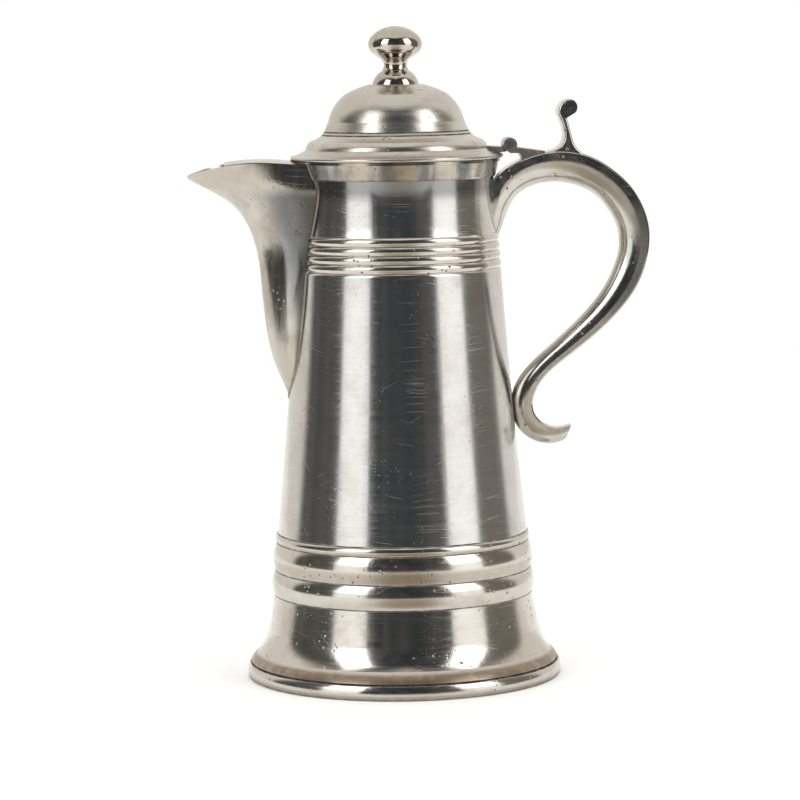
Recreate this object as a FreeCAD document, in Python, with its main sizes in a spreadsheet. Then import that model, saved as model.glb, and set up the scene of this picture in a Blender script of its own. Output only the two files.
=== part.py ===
import FreeCAD, Part
import math
import os
from types import SimpleNamespace

import Sketcher

# A lidded pewter flagon: a tapered drum on a flared foot, a gutter spout on -X, a scroll
# handle on +X and a domed lid that turns on a pin above the handle. Millimetres, +Z up;
# the origin is the centre of the ring that the foot stands on.

os.makedirs("parts", exist_ok=True)
V = FreeCAD.Vector
doc = FreeCAD.newDocument("flagon")

# ---------------------------------------------------------------- driving dimensions
SIZES = {
    "wall": 1.8,
    # foot
    "stand_in_r": 77.2,
    "stand_out_r": 80.0,
    "rim_r": 80.7,
    "rim_mid": 3.0,
    "rim_top": 7.5,
    "rim_top_r": 79.3,
    "foot_low_r": 78.4,
    "foot_lip_r": 79.0,
    "foot_lip": 8.3,
    "foot_roll_r": 77.15,
    "foot_roll": 11.0,
    "foot_turn_r": 74.6,
    "foot_turn": 13.7,
    "foot_flare_r": 71.5,
    "foot_flare": 18.9,
    "foot_waist_r": 69.6,
    "foot_waist": 24.6,
    "foot_rise_r": 67.95,
    "foot_rise": 33.0,
    "foot_top_r": 66.4,
    "foot_top": 42.8,
    # the two big reeds and the bead above them
    "low_reed_r": 67.6,
    "low_reed_top": 55.4,
    "mid_groove_r": 65.6,
    "high_reed_r": 66.7,
    "high_reed_top": 69.6,
    "bead_groove_r": 64.7,
    "bead_r": 65.4,
    "bead_top": 74.3,
    "bottom_under": 45.0,
    "bottom_thick": 1.8,
    # drum, neck and mouth
    "drum_low_r": 64.15,
    "drum_waist_r": 57.4,
    "drum_top_r": 52.4,
    "drum_top": 209.6,
    "drum_edge": 1.6,
    "reed_pitch": 4.45,
    "reed_seat_low_r": 50.9,
    "reed_seat_high_r": 49.5,
    "reed_groove_deep": 0.75,
    "reed_stand": 0.8,
    "neck_low_r": 50.15,
    "neck_waist_r": 48.75,
    "neck_waist": 241.5,
    "neck_top_r": 49.2,
    "neck_top": 255.5,
    "band_low_r": 50.1,
    "band_edge": 0.7,
    "band_high_r": 51.9,
    "lip_r": 52.6,
    "lip_low": 263.5,
    "mouth": 264.9,
    "mouth_bore_r": 47.5,
    "pour_wide": 30.0,
    "pour_low": 229.5,
    "pour_tall": 20.0,
    "pour_corner": 6.0,
    # lid
    "lid_gap": 0.3,
    "lid_edge_r": 54.2,
    "lid_edge": 266.1,
    "lid_edge_top_r": 53.7,
    "lid_edge_top": 267.0,
    "lid_flare_r": 49.7,
    "lid_flare": 268.2,
    "lid_step_r": 46.3,
    "lid_step": 270.2,
    "lid_shoulder_r": 45.0,
    "lid_shoulder": 273.3,
    "lid_cove_r": 42.0,
    "lid_cove": 275.0,
    "lid_fillet_r": 39.5,
    "lid_fillet": 276.2,
    "lid_bore_r": 45.0,
    "dome_foot_r": 38.3,
    "dome_foot": 277.2,
    "dome_line_deep": 0.4,
    "dome_line_tall": 0.5,
    "dome_line_pitch": 1.5,
    "dome_line_low": 0.3,
    "dome_line_bow": 0.55,
    "dome_side_r": 34.6,
    "dome_side": 284.2,
    "dome_bend_r": 31.7,
    "dome_bend": 291.6,
    "dome_crown_r": 25.7,
    "dome_crown": 298.1,
    "dome_brow_r": 19.4,
    "dome_brow": 301.0,
    "dome_flat_r": 13.6,
    "dome_top": 302.8,
    "lid_wall": 1.5,
    "bezel_r": 46.6,
    "bezel_low": 261.0,
    # knob
    "collar_r": 11.9,
    "collar_bulge_r": 11.1,
    "collar_bulge": 305.2,
    "collar_top_r": 7.1,
    "collar_top": 309.6,
    "waist_r": 5.85,
    "waist": 312.5,
    "waist_top_r": 7.9,
    "waist_top": 316.0,
    "ball_low_r": 10.7,
    "ball_low": 318.0,
    "ball_under_r": 12.9,
    "ball_under": 320.3,
    "ball_r": 13.65,
    "ball_mid": 323.5,
    "ball_over_r": 12.9,
    "ball_over": 326.0,
    "ball_high_r": 11.2,
    "ball_high": 328.0,
    "overall_tall": 332.3,
    "stud_r": 2.0,
    "stud_top": 313.5,
    "stud_head_r": 5.0,
    "stud_head_tall": 1.8,
    "stud_slack": 0.02,
    # hinge
    "hinge_out": 57.4,
    "hinge_up": 271.5,
    "hinge_wide": 18.6,
    "barrel_r": 3.5,
    "pin_r": 2.0,
    "pin_proud": 0.3,
    "pin_slack": 0.05,
    "ear_slack": 0.02,
    "knuckle_wide": 6.6,
    "knuckle_gap": 0.3,
    "barrel_gap": 0.4,
    "leaf_in": 43.5,
    "leaf_top_in": 271.1,
    "leaf_top_out": 270.3,
    "leaf_out": 55.0,
    "leaf_low": 267.0,
    "leaf_low_out": 268.0,
    "leaf_arm_in": 52.0,
    "leaf_arm_low": 268.2,
    "bracket_under": 267.2,
    "bracket_cut": 61.9,
    "bracket_heel": 64.4,
    "bracket_heel_up": 263.4,
    "bracket_root_in": 68.4,
    "bracket_root": 262.0,
    "bracket_end_root": 265.0,
    "bracket_end": 75.0,
    "bracket_end_up": 267.9,
    "bracket_neck_up": 270.0,
    # thumb rest
    "thumb_wide": 18.0,
    "thumb_round": 1.2,
    "thumb_foot": 268.5,
    # spout
    "spout_wall": 1.5,
    "spout_least": 0.4,
    "spout_tip": 106.5,
    "spout_cover_thick": 1.3,
    "spout_cover_crown": 1.3,
    "spout_cover_out": 88.0,
    "flange_wide": 1.3,
    "flange_thick": 0.6,
    "keel_round": 0.75,
    # handle
    "handle_wall": 2.0,
    "handle_ridge_wall": 2.6,
    "handle_wide_top": 20.0,
    "handle_wide_low": 11.0,
    "handle_corner": 0.8,
    "handle_flat_part": 0.3,
    "ridge_round": 0.6,
    # how far a bore runs past the piece it goes through, and the reach of a cutting block
    "overrun": 1.0,
    "beyond": 500.0,
}
REEDS = 4
DOME_LINES = 2
SPOUT_STEPS = 10
HANDLE_STEPS = 8
SOLID_TAIL = 2
# The drum's rounded top edge, in shares of drum_edge.
EDGE_MID_IN = 0.2
EDGE_MID_DOWN = 0.4
EDGE_END_IN = 0.5
# How far the dome's inside stands in from its outside there, in shares of lid_wall.
INSIDE_BROW_IN = 0.4
INSIDE_CROWN_IN = 0.7
INSIDE_BEND_DOWN = 0.5

# Level, keel distance from the axis and half width at the seam, from the spout's heel up.
SPOUT_LEVELS = [
    (143.5, 56.0, 1.2),
    (147.0, 57.9, 4.2),
    (150.5, 59.5, 8.8),
    (155.0, 61.3, 12.8),
    (161.0, 63.7, 15.8),
    (170.0, 66.2, 17.8),
    (182.0, 68.2, 19.2),
    (200.0, 69.9, 20.5),
    (218.0, 71.8, 21.5),
    (230.0, 75.3, 22.3),
    (240.0, 81.2, 24.0),
    (248.0, 91.2, 25.8),
    (253.5, 101.2, 26.0),
    (258.5, 109.8, 25.3),
    (267.0, 124.0, 24.6),
]

# Distance out and level along the spout's upper edge, from the lid to the tip.
SPOUT_EDGE = [
    (44.0, 263.4),
    (54.0, 263.7),
    (68.0, 264.5),
    (84.0, 263.7),
    (98.0, 260.9),
    (106.5, 258.2),
]

# Where the handle is cut across: back x and z, then belly x and z, from the neck to the tail.
HANDLE_STATIONS = [
    (44.5, 253.0, 45.5, 221.0),
    (51.5, 256.0, 53.9, 231.5),
    (59.5, 262.0, 59.8, 243.9),
    (70.2, 266.2, 69.5, 250.4),
    (82.8, 267.9, 82.0, 251.9),
    (96.5, 265.6, 92.7, 249.6),
    (109.0, 258.5, 101.5, 244.7),
    (119.5, 248.2, 107.8, 237.4),
    (126.3, 235.0, 112.0, 229.2),
    (128.1, 221.0, 113.3, 219.6),
    (125.3, 207.0, 111.6, 211.3),
    (114.6, 188.4, 104.3, 196.2),
    (99.2, 173.1, 92.2, 182.0),
    (84.5, 161.7, 78.5, 169.4),
    (73.6, 151.9, 66.2, 158.3),
    (68.5, 142.8, 58.3, 146.4),
    (68.0, 135.3, 57.2, 134.0),
    (71.6, 129.7, 63.2, 122.6),
    (78.6, 126.2, 76.3, 117.3),
    (87.3, 127.3, 84.4, 119.4),
]

# The thumb rest's side view: corners, and the middle points of the arcs between them.
THUMB_OUTLINE = [
    ("at", 76.0, 265.0),
    ("at", 78.5, 268.1),
    ("via", 83.4, 270.8),
    ("at", 85.2, 275.5),
    ("via", 84.5, 280.1),
    ("at", 82.8, 284.6),
    ("via", 83.5, 291.7),
    ("at", 88.1, 294.1),
    ("via", 91.3, 291.8),
    ("at", 90.8, 287.3),
    ("at", 86.4, 284.6),
    ("via", 87.9, 279.0),
    ("at", 89.2, 274.0),
    ("via", 91.2, 269.6),
    ("at", 97.5, 264.9),
    ("at", 97.5, 262.0),
]

sheet = doc.addObject("Spreadsheet::Sheet", "Sizes")
cells = dict(SIZES)
for number, level in enumerate(SPOUT_LEVELS):
    for word, value in zip(("up", "keel", "half"), level):
        cells[f"spout_level_{number}_{word}"] = value
for number, point in enumerate(SPOUT_EDGE):
    for word, value in zip(("out", "up"), point):
        cells[f"spout_edge_{number}_{word}"] = value
for number, station in enumerate(HANDLE_STATIONS):
    for word, value in zip(("back_x", "back_z", "belly_x", "belly_z"), station):
        cells[f"handle_{number}_{word}"] = value
for number, (kind, out, up) in enumerate(THUMB_OUTLINE):
    cells[f"thumb_{number}_out"] = out
    cells[f"thumb_{number}_up"] = up
for row, (alias, value) in enumerate(cells.items(), start=1):
    sheet.set(f"A{row}", alias)
    sheet.set(f"B{row}", str(value))
    sheet.setAlias(f"B{row}", alias)
doc.recompute()


class Size:
    """A length in mm together with the sheet expression that gives it."""

    def __init__(self, value, text):
        self.value = value
        self.text = text

    def combine(self, other, sign, value):
        text = other.text if isinstance(other, Size) else str(other)
        return Size(value, f"({self.text} {sign} {text})")

    def __add__(self, other):
        return self.combine(other, "+", self.value + plain(other))

    def __sub__(self, other):
        return self.combine(other, "-", self.value - plain(other))

    def __mul__(self, other):
        return self.combine(other, "*", self.value * plain(other))


def plain(value):
    """The number in a Size, or a plain number as it is."""
    return value.value if isinstance(value, Size) else value


mm = SimpleNamespace(**{alias: float(sheet.get(alias)) for alias in cells})
d = SimpleNamespace(**{alias: Size(getattr(mm, alias), f"Sizes.{alias}") for alias in cells})


# ---------------------------------------------------------------- drawing helpers
def at(across, up):
    """A corner of an outline."""
    return ("at", across, up)


def via(across, up):
    """The middle point of the arc between the corners on either side of it."""
    return ("via", across, up)


def crown():
    """Between a corner and one on the axis: an arc that crosses the axis squarely."""
    return ("crown",)


def place(point):
    return V(plain(point[1]), plain(point[2]), 0)


def crown_arc(start, end):
    """The arc between two points, one of them on the axis, whose centre is on the axis too."""
    rim, pole = (start, end) if end.x == 0 else (end, start)
    rise = pole.y - rim.y
    radius = (rim.x ** 2 + rise ** 2) / (2 * rise)
    half = math.asin(rim.x / abs(radius)) / 2
    middle = V(abs(radius) * math.sin(half), pole.y - radius + radius * math.cos(half), 0)
    return Part.Arc(start, middle, end)


def hold(sketch, geometry, end, point):
    """Tie one sketch point to its distances from the two axes, by the sheet."""
    ties = (("DistanceX", point[1], -2), ("DistanceY", point[2], -1))
    for kind, distance, axis in ties:
        if plain(distance) == 0:
            sketch.addConstraint(Sketcher.Constraint("PointOnObject", geometry, end, axis))
            continue
        tie = Sketcher.Constraint(kind, -1, 1, geometry, end, plain(distance))
        index = sketch.addConstraint(tie)
        if isinstance(distance, Size):
            sketch.setExpression(f"Constraints[{index}]", distance.text)


def new_sketch(body, name, role):
    sketch = body.newObject("Sketcher::SketchObject", name)
    plane = [item for item in body.Origin.OriginFeatures if item.Role == role][0]
    sketch.AttachmentSupport = [(plane, "")]
    sketch.MapMode = "FlatFace"
    return sketch


def draw(sketch, outline):
    """Draw a closed outline of lines and arcs whose every point is held by the sheet."""
    corners = [index for index, point in enumerate(outline) if point[0] == "at"]
    spans = []
    for step, index in enumerate(corners):
        between = outline[(index + 1) % len(outline)]
        start, end = outline[index], outline[corners[(step + 1) % len(corners)]]
        if between[0] == "via":
            shape = Part.Arc(place(start), place(between), place(end))
        elif between[0] == "crown":
            shape = crown_arc(place(start), place(end))
        else:
            shape = Part.LineSegment(place(start), place(end))
        number = sketch.addGeometry(shape, False)
        forward = sketch.getPoint(number, 1).distanceToPoint(place(start)) < 1e-6
        spans.append((number, start, between, 1 if forward else 2, 2 if forward else 1))
    for span, following in zip(spans, spans[1:] + spans[:1]):
        ends = (span[0], span[4], following[0], following[3])
        sketch.addConstraint(Sketcher.Constraint("Coincident", *ends))
    for number, start, between, first, last in spans:
        hold(sketch, number, first, start)
        if between[0] == "via":
            mark = sketch.addGeometry(Part.Point(place(between)), True)
            sketch.addConstraint(Sketcher.Constraint("PointOnObject", mark, 1, number))
            hold(sketch, mark, 1, between)
        elif between[0] == "crown":
            sketch.addConstraint(Sketcher.Constraint("PointOnObject", number, 3, -2))


def draw_circle(sketch, across, up, radius):
    circle = Part.Circle(V(plain(across), plain(up), 0), V(0, 0, 1), plain(radius))
    number = sketch.addGeometry(circle, False)
    hold(sketch, number, 3, at(across, up))
    index = sketch.addConstraint(Sketcher.Constraint("Radius", number, plain(radius)))
    sketch.setExpression(f"Constraints[{index}]", radius.text)


def new_body(name):
    body = doc.addObject("PartDesign::Body", name)
    body.Label = name
    return body


def turned(name, outline):
    """A piece turned about the upright axis from its outline of radius and level."""
    body = new_body(name)
    sketch = new_sketch(body, name + "_outline", "XZ_Plane")
    draw(sketch, outline)
    turn = body.newObject("PartDesign::Revolution", name + "_turn")
    turn.Profile = sketch
    turn.ReferenceAxis = (sketch, ["V_Axis"])
    turn.Angle = 360
    sketch.Visibility = False
    doc.recompute()
    return body


def across_y(body, kind, name, width):
    """Add a pad or pocket, as wide as `width` and centred on the XZ plane."""
    sketch = new_sketch(body, name + "_sketch", "XZ_Plane")
    feature = body.newObject(kind, name)
    feature.Profile = sketch
    feature.Midplane = True
    feature.Length = plain(width)
    feature.setExpression("Length", width.text)
    return sketch


def pad(body, name, width, outline):
    sketch = across_y(body, "PartDesign::Pad", name, width)
    draw(sketch, outline)
    doc.recompute()


def pad_round(body, name, width, radius):
    sketch = across_y(body, "PartDesign::Pad", name, width)
    draw_circle(sketch, d.hinge_out, d.hinge_up, radius)
    doc.recompute()


def bore(body, name, width, radius):
    """Cut a round bore about the hinge axis, and make sure that it removes metal."""
    before = body.Shape.Volume
    sketch = across_y(body, "PartDesign::Pocket", name, width)
    draw_circle(sketch, d.hinge_out, d.hinge_up, radius)
    doc.recompute()
    assert body.Shape.Volume < before, name


def round_edges(body, name, radius, wanted):
    """Round those edges of the body's last feature that `wanted` picks out."""
    base = body.Tip
    edges = enumerate(base.Shape.Edges, start=1)
    picked = [f"Edge{number}" for number, edge in edges if wanted(edge)]
    fillet = body.newObject("PartDesign::Fillet", name)
    fillet.Base = (base, picked)
    fillet.setExpression("Radius", radius.text)
    doc.recompute()


def boolean(kind, name, base, tool):
    result = doc.addObject(kind, name)
    result.Label = name
    result.Base = base
    result.Tool = tool
    doc.recompute()
    return result


def solid(name, shape):
    """Keep a shape worked out from the sheet's sizes as an object of the document."""
    feature = doc.addObject("Part::Feature", name)
    feature.Label = name
    feature.Shape = shape
    feature.Placement = FreeCAD.Placement()
    return feature


def mirrored(shape):
    return shape.mirror(V(0, 0, 0), V(0, 1, 0))


# ---------------------------------------------------------------- foot and base mouldings
def make_foot_rim():
    return turned("foot_rim", [
        at(d.stand_in_r, 0),
        at(d.stand_out_r, 0),
        via(d.rim_r, d.rim_mid),
        at(d.rim_top_r, d.rim_top),
        at(d.stand_in_r, d.rim_top),
    ])


def make_foot():
    return turned("foot", [
        at(d.foot_low_r, d.rim_top),
        at(d.foot_lip_r, d.foot_lip),
        via(d.foot_roll_r, d.foot_roll),
        at(d.foot_turn_r, d.foot_turn),
        via(d.foot_flare_r, d.foot_flare),
        at(d.foot_waist_r, d.foot_waist),
        via(d.foot_rise_r, d.foot_rise),
        at(d.foot_top_r, d.foot_top),
        at(d.foot_top_r - d.wall, d.foot_top),
        via(d.foot_rise_r - d.wall, d.foot_rise),
        at(d.foot_waist_r - d.wall, d.foot_waist),
        via(d.foot_flare_r - d.wall, d.foot_flare - d.wall * 0.5),
        at(d.foot_turn_r - d.wall, d.foot_turn - d.wall),
        at(d.foot_low_r - d.wall, d.rim_top),
    ])


def ring(name, low, low_r, bulge_r, high, high_r):
    """A half-round moulding between two levels, with a straight bore."""
    return turned(name, [
        at(low_r, low),
        via(bulge_r, (low + high) * 0.5),
        at(high_r, high),
        at(high_r - d.wall, high),
        at(high_r - d.wall, low),
    ])


def make_base_mouldings():
    lower = ring("lower_base_reed", d.foot_top, d.foot_top_r, d.low_reed_r,
                 d.low_reed_top, d.mid_groove_r)
    upper = ring("upper_base_reed", d.low_reed_top, d.mid_groove_r, d.high_reed_r,
                 d.high_reed_top, d.bead_groove_r)
    bead = ring("drum_foot_bead", d.high_reed_top, d.bead_groove_r, d.bead_r,
                d.bead_top, d.drum_low_r)
    return [lower, upper, bead]


def make_bottom_disc():
    """The vessel's bottom, let into the lower reed so that the foot is hollow beneath."""
    disc = doc.addObject("Part::Cylinder", "bottom_disc")
    disc.Label = "bottom_disc"
    disc.setExpression("Radius", (d.mid_groove_r - d.wall).text)
    disc.setExpression("Height", d.bottom_thick.text)
    disc.setExpression("Placement.Base.z", d.bottom_under.text)
    doc.recompute()
    return disc


# ---------------------------------------------------------------- drum, neck and mouth
DRUM_SIDE = [
    at(d.drum_low_r, d.bead_top),
    via(d.drum_waist_r, (d.bead_top + d.drum_top) * 0.5),
    at(d.drum_top_r, d.drum_top - d.drum_edge),
    via(d.drum_top_r - d.drum_edge * EDGE_MID_IN, d.drum_top - d.drum_edge * EDGE_MID_DOWN),
    at(d.drum_top_r - d.drum_edge * EDGE_END_IN, d.drum_top),
]
REED_TOP = d.drum_top + d.reed_pitch * REEDS
NECK_SIDE = [
    at(d.neck_low_r, REED_TOP),
    via(d.neck_waist_r, d.neck_waist),
    at(d.neck_top_r, d.neck_top),
]
BAND_SIDE = [
    at(d.band_low_r, d.neck_top + d.band_edge),
    at(d.band_high_r, d.lip_low),
    at(d.lip_r, d.lip_low),
    at(d.lip_r, d.mouth),
]


def inside(side, thick):
    """The same outline moved towards the axis, in the opposite order."""
    return [(kind, across - thick, up) for kind, across, up in reversed(side)]


def outside(side, thick):
    return [(kind, across + thick, up) for kind, across, up in side]


def make_drum():
    return turned("drum", DRUM_SIDE + inside(DRUM_SIDE, d.wall))


def make_neck():
    """The concave neck, whose lower end is the seat of the reeding, with the pouring hole."""
    outline = [at(d.reed_seat_low_r, d.drum_top), at(d.reed_seat_high_r, REED_TOP)]
    outline += NECK_SIDE + inside(NECK_SIDE, d.wall)
    outline += [at(d.reed_seat_low_r - d.wall, d.drum_top)]
    neck = turned("neck", outline)
    middle = V(d.wall.value / 2 - mm.neck_waist_r, 0, mm.neck_waist)
    assert neck.Shape.isInside(middle, 0.01, True)
    sketch = new_sketch(neck, "pour_sketch", "YZ_Plane")
    half = d.pour_wide * 0.5
    top = d.pour_low + d.pour_tall
    corners = [(half, d.pour_low), (half, top - d.pour_corner), (half - d.pour_corner, top)]
    right = [at(across, up) for across, up in corners]
    left = [at(Size(-across.value, f"(0 - {across.text})"), up) for across, up in corners]
    draw(sketch, right + left[::-1])
    hole = neck.newObject("PartDesign::Pocket", "pour_hole")
    hole.Profile = sketch
    hole.Reversed = False
    hole.setExpression("Length", (d.neck_low_r + d.wall).text)
    doc.recompute()
    assert not neck.Shape.isInside(middle, 0.01, True), "the pouring hole misses the wall"
    return neck


def make_reeding():
    """Half-round reeds turned on one thin ring that sits on the neck's lower end."""
    sides = []
    taper = d.reed_seat_low_r - d.reed_seat_high_r
    for number in range(REEDS + 1):
        level = d.drum_top + d.reed_pitch * number
        seat = d.reed_seat_low_r - taper * (number / REEDS)
        groove = seat + d.reed_groove_deep
        sides.append(at(groove, level))
        if number < REEDS:
            sides.append(via(groove + d.reed_stand, level + d.reed_pitch * 0.5))
    seat = [at(d.reed_seat_high_r, REED_TOP), at(d.reed_seat_low_r, d.drum_top)]
    return turned("neck_reeding_ring", sides + seat)


def make_mouth_band():
    foot = [at(d.mouth_bore_r, d.neck_top), at(d.band_low_r - d.band_edge, d.neck_top)]
    return turned("mouth_band", foot + BAND_SIDE + [at(d.mouth_bore_r, d.mouth)])


def make_body_core():
    """The vessel's outside, filled in: what the spout and the handle are fitted against."""
    side = DRUM_SIDE + [at(d.reed_seat_low_r, d.drum_top), at(d.reed_seat_high_r, REED_TOP)]
    side += NECK_SIDE + [at(d.band_low_r - d.band_edge, d.neck_top)] + BAND_SIDE
    return turned("body_core", [at(0, d.bead_top)] + side + [at(0, d.mouth)])


def make_flange_skin():
    """A skin over the vessel, as thick as the flange that the spout is soldered on by."""
    out = outside(DRUM_SIDE, d.flange_thick) + outside(NECK_SIDE, d.flange_thick)
    out += outside(BAND_SIDE[:2], d.flange_thick)
    back = [at(d.band_high_r, d.lip_low), at(d.band_low_r, d.neck_top + d.band_edge)]
    back += [at(d.band_low_r - d.band_edge, d.neck_top)] + NECK_SIDE[::-1]
    back += [at(d.reed_seat_high_r, REED_TOP), at(d.reed_seat_low_r, d.drum_top)]
    return turned("flange_skin", out + back + DRUM_SIDE[::-1])


def body_radius(level):
    """The vessel's outer radius at a level, near enough to start the spout's side from."""
    if level < mm.drum_top:
        part = (level - mm.bead_top) / (mm.drum_top - mm.bead_top)
        chord = mm.drum_low_r + (mm.drum_top_r - mm.drum_low_r) * part
        sag = (mm.drum_low_r + mm.drum_top_r) / 2 - mm.drum_waist_r
        return chord - sag * 4 * part * (1 - part)
    if level < mm.neck_top:
        return mm.neck_waist_r
    return mm.band_low_r


# ---------------------------------------------------------------- spout
def spout_side(keel, seam, half):
    """Half of the spout's pointed U in plan, as points from the keel round to the seam."""
    points = []
    for number in range(SPOUT_STEPS + 1):
        along = math.cos(math.pi / 2 * number / SPOUT_STEPS)
        across = half * (1 - along ** 2) ** mm.keel_round
        points.append((-(seam + (keel - seam) * along), across))
    return points


def curve(points):
    spline = Part.BSplineCurve()
    spline.interpolate(points)
    return spline.toShape()


def spout_levels(grow):
    """Level, keel, seam and half width at each level, grown outwards by `grow`."""
    for number in range(len(SPOUT_LEVELS)):
        words = ("up", "keel", "half")
        up, keel, half = [getattr(mm, f"spout_level_{number}_{word}") for word in words]
        half = max(half + grow, mm.spout_least)
        seam = math.sqrt(body_radius(up) ** 2 - half ** 2)
        yield up, max(keel + grow, seam + mm.spout_least), seam, half


def spout_solid(grow):
    """The spout's whole bulk, keel to body, grown or shrunk by `grow`."""
    wires = []
    for up, keel, seam, half in spout_levels(grow):
        right = [V(x, y, up) for x, y in spout_side(keel, seam, half)]
        left = [V(x, -y, up) for x, y in reversed(spout_side(keel, seam, half))]
        root_right = V(-seam / 2, half, up)
        root_left = V(-seam / 2, -half, up)
        edges = [curve(left), curve(right), Part.makeLine(right[-1], root_right),
                 Part.makeLine(root_right, root_left), Part.makeLine(root_left, left[0])]
        wires.append(Part.Wire(edges))
    return Part.makeLoft(wires, True, False)


def spout_edge():
    """The points along the spout's upper edge, on the middle plane."""
    for number in range(len(SPOUT_EDGE)):
        yield getattr(mm, f"spout_edge_{number}_out"), getattr(mm, f"spout_edge_{number}_up")


def above_spout_edge():
    """The space above the spout's upper edge and beyond its tip."""
    edge = [V(-out, 0, up) for out, up in spout_edge()]
    far = mm.beyond
    inner = V(0, 0, edge[0].z)
    corners = [V(-mm.spout_tip, 0, mm.pour_low), V(-far, 0, mm.pour_low), V(-far, 0, far),
               V(0, 0, far), inner]
    lines = [Part.makeLine(edge[-1], corners[0])]
    lines += [Part.makeLine(one, two) for one, two in zip(corners, corners[1:])]
    lines += [Part.makeLine(inner, edge[0]), curve(edge)]
    face = Part.Face(Part.Wire(lines))
    face.translate(V(0, -far / 2, 0))
    return face.extrude(V(0, far, 0))


def cover_blank():
    """A crowned strip whose sides run level with the spout's upper edges."""
    half = max(getattr(mm, f"spout_level_{number}_half") for number in range(len(SPOUT_LEVELS)))
    wires = []
    for out, up in spout_edge():
        top = [V(-out, -half, up), V(-out, 0, up + mm.spout_cover_crown), V(-out, half, up)]
        low = [point - V(0, 0, mm.spout_cover_thick) for point in top]
        wires.append(Part.Wire([
            Part.Arc(*top).toShape(), Part.makeLine(top[2], low[2]),
            Part.Arc(*low[::-1]).toShape(), Part.makeLine(low[0], top[0])]))
    return Part.makeLoft(wires, True, False)


def half_space(side):
    """A big block on one side of the XZ plane."""
    big = mm.beyond
    block = Part.makeBox(big, big / 2, big, V(-big / 2, 0, 0))
    return block if side > 0 else mirrored(block)


def make_spout(core):
    """Two cast halves that meet on the keel, and the plate that closes the top between them."""
    outer = spout_solid(0)
    inner = spout_solid(-mm.spout_wall)
    shell = outer.cut(inner).cut(above_spout_edge()).cut(core.Shape)
    halves = []
    for name, side in (("spout_far_half", 1), ("spout_near_half", -1)):
        halves.append(solid(name, shell.common(half_space(side))))
    length, wide = mm.spout_cover_out, mm.beyond
    reach = Part.makeBox(length, wide, wide, V(-length, -wide / 2, mm.neck_top))
    plate = inner.common(cover_blank()).common(reach).cut(core.Shape)
    return halves + [solid("spout_cover_plate", plate)]


# ---------------------------------------------------------------- handle
def handle_half_wire(number, hollow):
    """Half of the handle's cross-section: flat back, flat side, then round to the ridge."""
    words = ("back_x", "back_z", "belly_x", "belly_z")
    back_x, back_z, belly_x, belly_z = [getattr(mm, f"handle_{number}_{word}") for word in words]
    back = V(back_x, 0, back_z)
    inward = V(belly_x, 0, belly_z) - back
    deep = inward.Length
    inward.normalize()
    part = number / (len(HANDLE_STATIONS) - 1)
    ease = part * part * (3 - 2 * part)
    inset = mm.handle_wall if hollow else 0
    half = (mm.handle_wide_top + (mm.handle_wide_low - mm.handle_wide_top) * ease) / 2 - inset
    flat = deep * mm.handle_flat_part
    ridge = deep - (mm.handle_ridge_wall if hollow else 0)

    def spot(depth, across):
        return back + inward * depth + V(0, across, 0)

    round_points = []
    for step in range(HANDLE_STEPS + 1):
        along = math.sin(math.pi / 2 * step / HANDLE_STEPS)
        across = half * (1 - along ** 2) ** mm.ridge_round
        round_points.append(spot(flat + (ridge - flat) * along, across))
    corners = [spot(inset, 0), spot(inset, half), round_points[0]]
    if not hollow:
        bevel = [spot(0, half - mm.handle_corner), spot(mm.handle_corner, half)]
        corners[1:2] = bevel
    edges = [Part.makeLine(one, two) for one, two in zip(corners, corners[1:])]
    edges += [curve(round_points), Part.makeLine(round_points[-1], corners[0])]
    return Part.Wire(edges)


def make_handle(core, reeding):
    """Two hollow cast halves joined on the middle plane, solid at the tail."""
    stations = len(HANDLE_STATIONS)
    outer_wires = [handle_half_wire(number, False) for number in range(stations)]
    inner_wires = [handle_half_wire(number, True) for number in range(stations - SOLID_TAIL)]
    outer = Part.makeLoft(outer_wires, True, False)
    inner = Part.makeLoft(inner_wires, True, False)
    half = outer.cut(inner).cut(core.Shape).cut(reeding.Shape)
    bulk = solid("handle_bulk", outer.fuse(mirrored(outer)))
    halves = [solid("handle_far_half", half), solid("handle_near_half", mirrored(half))]
    return bulk, halves


def make_thumb_rest(bulk):
    """A ribbon that springs from the handle's back and curls over at the top."""
    body = new_body("thumb_rest_blank")
    outline = []
    for number, (kind, out, up) in enumerate(THUMB_OUTLINE):
        outline.append((kind, getattr(d, f"thumb_{number}_out"), getattr(d, f"thumb_{number}_up")))
    pad(body, "thumb_ribbon", d.thumb_wide, outline)
    crest_out = mm.thumb_7_out

    def on_lid_side(edge):
        """The ribbon's long edges between its foot and its crest, on the side of the lid."""
        middle = edge.valueAt((edge.FirstParameter + edge.LastParameter) / 2)
        at_side = abs(abs(middle.y) - mm.thumb_wide / 2) < 0.01
        return at_side and middle.z > mm.thumb_foot and middle.x < crest_out

    round_edges(body, "thumb_edges", d.thumb_round, on_lid_side)
    return boolean("Part::Cut", "thumb_rest", body, bulk)


# ---------------------------------------------------------------- lid
UNDERSIDE = d.mouth + d.lid_gap
LID_SIDE = [
    at(d.lid_edge_top_r, UNDERSIDE),
    via(d.lid_edge_r, d.lid_edge),
    at(d.lid_edge_top_r, d.lid_edge_top),
    via(d.lid_flare_r, d.lid_flare),
    at(d.lid_step_r, d.lid_step),
    via(d.lid_shoulder_r, d.lid_shoulder),
    at(d.lid_cove_r, d.lid_cove),
]


def make_lid_rim():
    return turned("lid_rim", [at(d.lid_bore_r, UNDERSIDE)] + LID_SIDE + [
        at(d.lid_fillet_r, d.lid_fillet),
        at(d.dome_foot_r, d.dome_foot),
        at(d.dome_foot_r - d.lid_wall, d.dome_foot),
        at(d.dome_foot_r - d.lid_wall, d.lid_cove),
        at(d.lid_cove_r - d.lid_wall, d.lid_cove - d.lid_wall),
        at(d.lid_bore_r, d.lid_step),
    ])


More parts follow.
